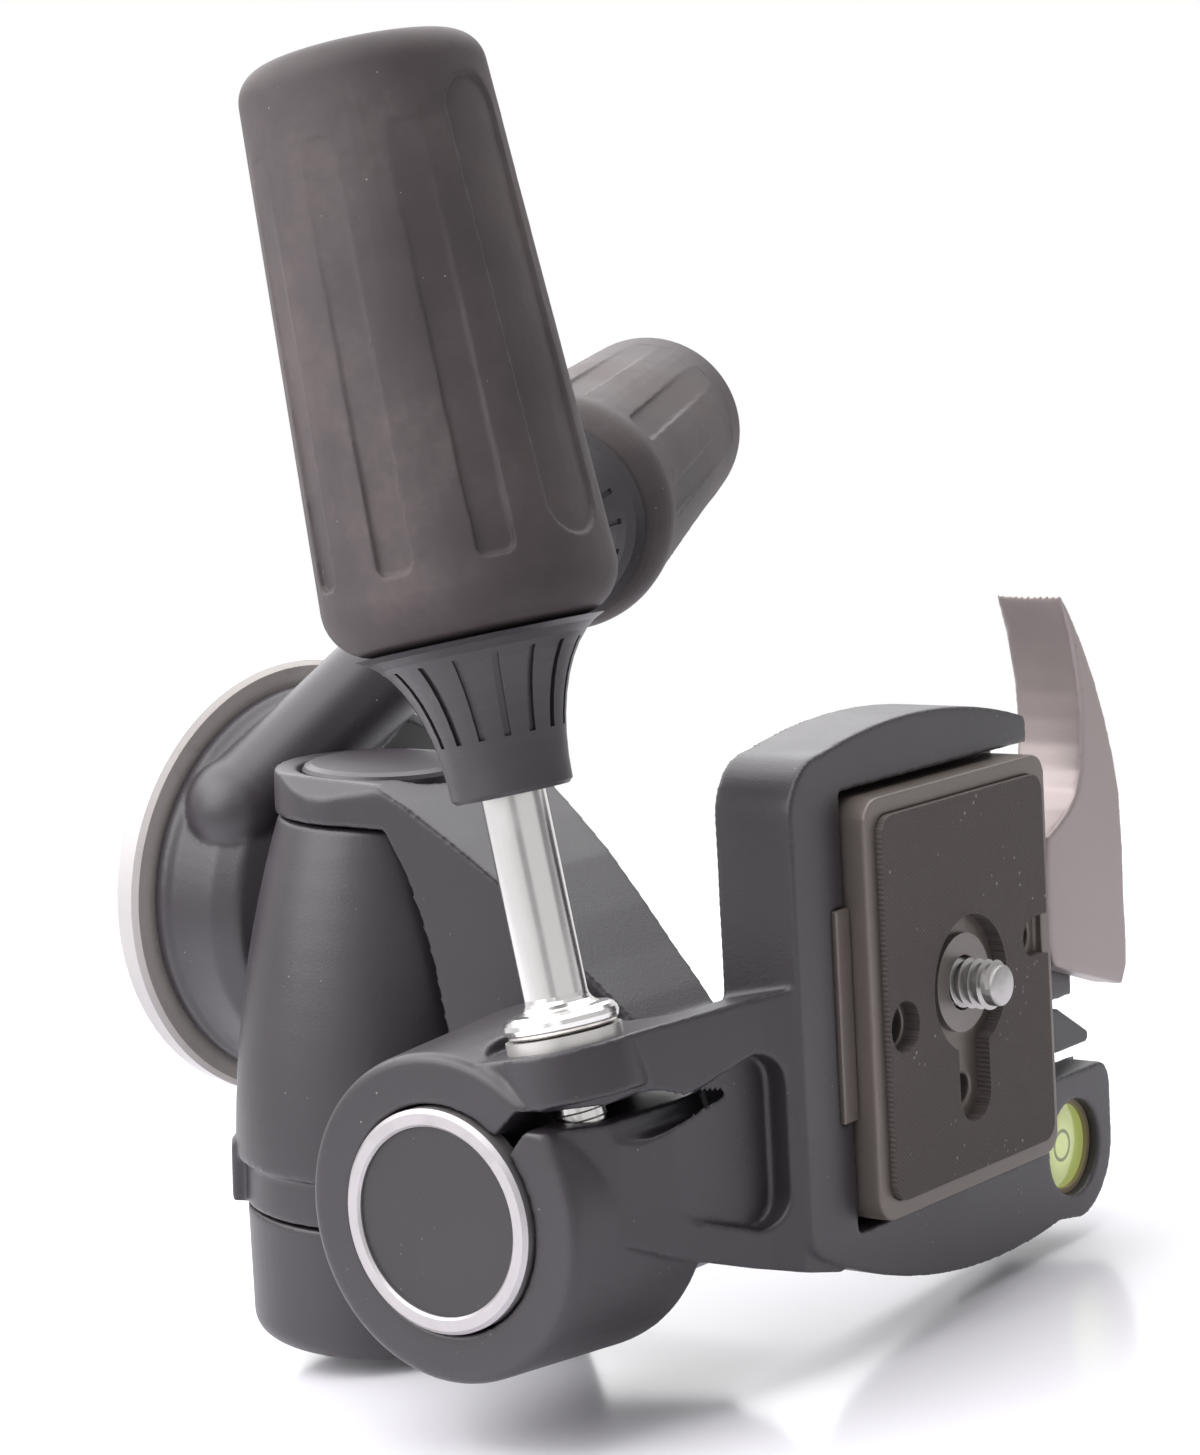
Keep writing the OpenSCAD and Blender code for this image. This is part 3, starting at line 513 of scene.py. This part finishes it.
# Moulded and cast pieces have soft edges: a copy of the solid is remeshed finely and eased.
# The remesh grid lies along place, and askew turns it off the long edges that showed its steps.
askew = turn(34.0, Vector((1.0, 0.6, 0.35)).normalized())
softPieces = {
    "platform": {"grid": 0.28, "ease": 14, "place": plateFrame() @ askew},
    "yoke": {"grid": 0.3, "ease": 16, "place": tiltFrame() @ askew},
    "pan_housing": {"grid": 0.4, "ease": 8, "place": Matrix.Identity(4), "castWith": ("pan_arm",)},
    "roll_handle_grip": {"grid": 0.24, "ease": 5, "place": rollHandleFrame()},
    "pan_handle_grip": {"grid": 0.24, "ease": 5, "place": panHandleFrame()},
    "lock_lever": {"grid": 0.22, "ease": 45, "place": plateFrame() @ askew},
    "plate_body": {"grid": 0.24, "ease": 5, "place": plateFrame()},
    "lock_jaw": {"grid": 0.16, "ease": 6, "place": plateFrame()},
    "safety_catch": {"grid": 0.14, "ease": 8, "place": plateFrame()},
}
softSetup = {"weld": 0.000002, "easing": 0.5, "mostTriangles": 150000}


def activate(piece):
    bpy.ops.object.select_all(action="DESELECT")
    piece.select_set(True)
    bpy.context.view_layer.objects.active = piece


def applyPlace():
    bpy.ops.object.transform_apply(location=True, rotation=True, scale=True)


def looseCopy(name):
    piece = nodes[name].copy()
    piece.data = nodes[name].data.copy()
    piece.name = "soft_" + name
    piece.parent = None
    bpy.context.collection.objects.link(piece)
    return piece


def weld():
    bpy.ops.object.mode_set(mode="EDIT")
    bpy.ops.mesh.select_all(action="SELECT")
    bpy.ops.mesh.remove_doubles(threshold=softSetup["weld"])
    bpy.ops.object.mode_set(mode="OBJECT")


def soften(piece, grid, ease):
    remesh = piece.modifiers.new("fineSkin", "REMESH")
    remesh.mode = "VOXEL"
    remesh.voxel_size = grid * mm
    eased = piece.modifiers.new("easedEdges", "SMOOTH")
    eased.factor = softSetup["easing"]
    eased.iterations = ease
    for modifier in ("fineSkin", "easedEdges"):
        bpy.ops.object.modifier_apply(modifier=modifier)
    dense = 2 * len(piece.data.polygons)  # each face counts as two triangles
    if dense > softSetup["mostTriangles"]:
        thinned = piece.modifiers.new("thinned", "DECIMATE")
        thinned.ratio = softSetup["mostTriangles"] / dense
        bpy.ops.object.modifier_apply(modifier="thinned")
    bpy.ops.object.shade_smooth()


def softCopy(name, grid, ease, place, castWith=()):
    piece = looseCopy(name)
    others = [looseCopy(other) for other in castWith]
    activate(piece)
    if others:
        for other in others:
            other.select_set(True)
        bpy.ops.object.join()
    piece.matrix_world = place.inverted()
    applyPlace()
    weld()
    soften(piece, grid, ease)
    piece.matrix_world = place
    applyPlace()
    paint(piece.data, finishOf[name])
    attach(piece, bodyOf[name])
    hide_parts(name, *castWith)
    return piece


for name, settings in softPieces.items():
    made = softCopy(name, **settings)
    print("softened", name, len(made.data.polygons))

# Threads, drawn in a local frame along Z and then set on their pieces
cameraScrew = {
    "core": 2.62, "crest": 3.15, "pitch": 1.27, "low": -7.6, "high": 5.6, "tipEdge": 0.5,
    "head": 7.3, "headHigh": -5.6, "headEdge": 0.4, "runOut": 0.2,
}
studThread = {"crest": 3.2, "pitch": 1.0, "low": -14.0, "high": -3.0}
ridgeSetup = {"corners": 3, "size": 0.56, "steps": 28, "endSides": 4}
rodSetup = {"sides": 64, "rimSteps": 3, "rimAngle": 50.0, "smoothAngle": 35.0}


def threadRidge(crest, pitch, low, high):
    # a three-cornered ridge, screwed up along Z and closed at both ends
    bpy.ops.object.select_all(action="DESELECT")
    size = pitch * ridgeSetup["size"]
    bpy.ops.mesh.primitive_circle_add(
        vertices=ridgeSetup["corners"], radius=size * mm, fill_type="NOTHING",
        location=((crest - size) * mm, 0, low * mm), rotation=(math.pi / 2, math.pi / 2, 0))
    ridge = bpy.context.active_object
    applyPlace()
    screw = ridge.modifiers.new("turns", "SCREW")
    screw.axis = "Z"
    screw.screw_offset = pitch * mm
    screw.iterations = int((high - low) / pitch)
    screw.steps = ridgeSetup["steps"]
    screw.render_steps = ridgeSetup["steps"]
    bpy.ops.object.modifier_apply(modifier="turns")
    bpy.ops.object.mode_set(mode="EDIT")
    bpy.ops.mesh.select_all(action="SELECT")
    bpy.ops.mesh.fill_holes(sides=ridgeSetup["endSides"])
    bpy.ops.mesh.select_all(action="SELECT")
    bpy.ops.mesh.normals_make_consistent(inside=False)
    bpy.ops.object.mode_set(mode="OBJECT")
    return ridge


def turnedRod(radius, low, high, edge):
    # a rod along Z with both rims bevelled
    bpy.ops.object.select_all(action="DESELECT")
    bpy.ops.mesh.primitive_cylinder_add(
        vertices=rodSetup["sides"], radius=radius * mm, depth=(high - low) * mm,
        location=(0, 0, (low + high) / 2 * mm))
    rod = bpy.context.active_object
    applyPlace()
    rims = rod.modifiers.new("rims", "BEVEL")
    rims.width = edge * mm
    rims.segments = rodSetup["rimSteps"]
    rims.limit_method = "ANGLE"
    rims.angle_limit = math.radians(rodSetup["rimAngle"])
    bpy.ops.object.modifier_apply(modifier="rims")
    return rod


def settle(piece, name, place, body, finish):
    piece.name = name
    piece.data.name = name
    piece.matrix_world = place
    activate(piece)
    applyPlace()
    bpy.ops.object.shade_smooth_by_angle(angle=math.radians(rodSetup["smoothAngle"]))
    paint(piece.data, finish)
    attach(piece, body)


def makeScrew():
    low, high, runOut = cameraScrew["low"], cameraScrew["high"], cameraScrew["runOut"]
    headHigh = cameraScrew["headHigh"]
    core = turnedRod(cameraScrew["core"], low, high, cameraScrew["tipEdge"])
    head = turnedRod(cameraScrew["head"], low, headHigh, cameraScrew["headEdge"])
    ridge = threadRidge(cameraScrew["crest"], cameraScrew["pitch"],
                        headHigh + runOut, high - runOut)
    activate(core)
    head.select_set(True)
    ridge.select_set(True)
    bpy.ops.object.join()
    settle(core, "threadedScrew", plateFrame(), "camera_screw", screwSteel)
    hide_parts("camera_screw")


def makeStud():
    ridge = threadRidge(**studThread)
    settle(ridge, "studThread", rollHandleFrame(), "roll_handle", zincWasher)


makeScrew()
makeStud()
print("threads cut")

# Camera at the photograph's place, in the part's frame
cameraSetup = {
    "place": (357.2, -106.9, 411.6),
    "right": (-0.6986, 0.0123, 0.7155),
    "up": (-0.1217, -0.9873, -0.1019),
    "back": (0.7051, -0.1582, 0.6912),
    "lens": 120.0,
    "sensor": 36.0,
    "farthest": 20.0,
}


def makeCamera():
    data = bpy.data.cameras.new("photoCamera")
    data.lens = cameraSetup["lens"]
    data.sensor_width = cameraSetup["sensor"]
    data.sensor_fit = "HORIZONTAL"
    data.clip_end = cameraSetup["farthest"]
    camera = bpy.data.objects.new("photoCamera", data)
    columns = [Vector(cameraSetup[key]).normalized() for key in ("right", "up", "back")]
    camera.matrix_world = shift(cameraSetup["place"]) @ Matrix(columns).transposed().to_4x4()
    bpy.context.collection.objects.link(camera)
    bpy.context.scene.camera = camera
    return camera


camera = makeCamera()

# The head lies on its side on a pale table, so the floor stands across the part's Y axis
floorSetup = {
    "up": (0.063, -0.988, -0.117), "size": 6.0, "drop": 0.0002,
    "tone": (0.94, 0.925, 0.98), "unlit": (0.28, 0.27, 0.29), "rough": 0.16,
    "paper": (1.0, 1.0, 1.0), "fade": {"low": 0.15, "high": 0.42},
}


def facingAlong(direction):
    return direction.to_track_quat("Z", "Y").to_matrix().to_4x4()


def rayIs(tree, name):
    return Wire.node(tree, "ShaderNodeLightPath", output=name)


def plainRays(tree):
    # 1 for what the camera sees straight, in gloss or through glass
    seen = rayIs(tree, "Is Camera Ray") + rayIs(tree, "Is Glossy Ray")
    return (seen + rayIs(tree, "Is Transmission Ray")).atMost(1.0)


def lowestAlong(direction):
    return min(corner.co.dot(direction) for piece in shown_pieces() for corner in piece.data.vertices)


def floorFinish():
    # the table fades to white paper, and seen from below it is clear
    finish, tree, shader, place = newFinish("paleTable")
    plugAll(tree, shader, {
        "Base Color": blend(tree, plainRays(tree), floorSetup["unlit"], floorSetup["tone"]),
        "Roughness": floorSetup["rough"],
    })
    reach = vectorSize(tree, "LENGTH", place)
    far = step(tree, reach, **floorSetup["fade"]) * plainRays(tree)
    paper = {"Color": floorSetup["paper"], "Strength": 1.0}
    white = Wire.node(tree, "ShaderNodeEmission", {}, paper)
    lit = Wire(tree, shader.outputs[0])
    table = Wire.node(tree, "ShaderNodeMixShader", {}, (far, lit, white))
    clear = Wire.node(tree, "ShaderNodeBsdfTransparent")
    behind = Wire.node(tree, "ShaderNodeNewGeometry", output="Backfacing")
    through = behind.atLeast(rayIs(tree, "Is Shadow Ray"))  # the lamp below shines through
    shown = Wire.node(tree, "ShaderNodeMixShader", {}, (through, table, clear))
    plug(tree, tree.nodes["Material Output"].inputs["Surface"], shown)
    return finish


def makeFloor():
    up = Vector(floorSetup["up"]).normalized()
    low = lowestAlong(up) - floorSetup["drop"]
    bpy.ops.object.select_all(action="DESELECT")
    bpy.ops.mesh.primitive_plane_add(size=floorSetup["size"])
    floor = bpy.context.active_object
    floor.name = "paleTable"
    floor.matrix_world = Matrix.Translation(up * low) @ facingAlong(up)
    floor.data.materials.append(floorFinish())
    floor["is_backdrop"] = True
    return low


tableLow = makeFloor()
print("camera and table placed", round(tableLow, 4))

# Soft studio light: a wide lamp over the table, a window-like one at the left,
# and weak fills above the camera and under the table
lampSetup = {
    "overhead": {"aim": (-0.26, 1.0, -0.3), "far": 0.8, "size": 1.7, "power": 21.5},
    "leftWindow": {"aim": (-0.9, 0.45, 0.45), "far": 0.9, "size": 0.8, "power": 7.4},
    "frontFill": {"aim": (-0.35, 0.75, 1.0), "far": 1.0, "size": 0.8, "power": 2.9},
    "underFill": {"aim": (0.2, -1.0, -0.3), "far": 0.9, "size": 1.0, "power": 5.4},
}
lampMiddle = Vector((0.0, 0.0, 0.055))


def inPicture(aim):
    # aim is counted along the picture: right, up and towards the viewer
    return (camera.matrix_world.to_3x3() @ Vector(aim)).normalized()


def makeLamp(name, aim, far, size, power):
    direction = inPicture(aim)
    data = bpy.data.lights.new(name, "AREA")
    data.size = size
    data.energy = power
    lamp = bpy.data.objects.new(name, data)
    lamp.matrix_world = Matrix.Translation(lampMiddle + direction * far) @ facingAlong(direction)
    bpy.context.collection.objects.link(lamp)


for name, settings in lampSetup.items():
    makeLamp(name, **settings)

studioSetup = {
    "ambient": 0.18, "dark": 0.74,
    "window": (-0.35, 0.5, -0.8), "open": {"low": 0.3, "high": 0.92},
    "standLeft": {"low": -0.36, "high": -0.26}, "standRight": {"low": 0.12, "high": 0.02},
    "standFront": {"low": 0.2, "high": 0.5}, "standShade": 0.6,
    "screenEdge": {"low": 0.92, "high": 0.97}, "screenShade": 0.8,
}


def mirroredRoom(tree):
    # what gloss shows: a white window behind the object, a dimmer room in front,
    # and a stand and a screen in it that make dark streaks in turned metal
    way = Wire.node(tree, "ShaderNodeTexCoord", output="Generated")
    facing = vectorSize(tree, "DOT_PRODUCT", way, tuple(inPicture(studioSetup["window"])))
    toFront = vectorSize(tree, "DOT_PRODUCT", way, cameraSetup["back"])
    toRight = vectorSize(tree, "DOT_PRODUCT", way, cameraSetup["right"])
    dark = studioSetup["dark"]
    room = step(tree, facing, **studioSetup["open"]) * (1.0 - dark) + dark
    stand = step(tree, toRight, **studioSetup["standLeft"])
    stand = stand * step(tree, toRight, **studioSetup["standRight"])
    stand = stand * step(tree, toFront, **studioSetup["standFront"])
    screen = step(tree, toRight, **studioSetup["screenEdge"])
    room = room * (1.0 - stand * studioSetup["standShade"])
    return room * (1.0 - screen * studioSetup["screenShade"])


def whiteStudio():
    # white for the camera, the mirrored room for gloss and a low level for all other light
    world = bpy.data.worlds.new("whiteStudio")
    world.use_nodes = True
    bpy.context.scene.world = world
    tree = world.node_tree
    straight = rayIs(tree, "Is Camera Ray")
    seen = plainRays(tree)
    ambient = (1.0 - seen) * studioSetup["ambient"]
    plugAll(tree, tree.nodes["Background"], {
        "Color": floorSetup["paper"],
        "Strength": ambient + straight + (seen - straight) * mirroredRoom(tree),
    })


whiteStudio()
bpy.context.scene.view_settings.view_transform = "Standard"
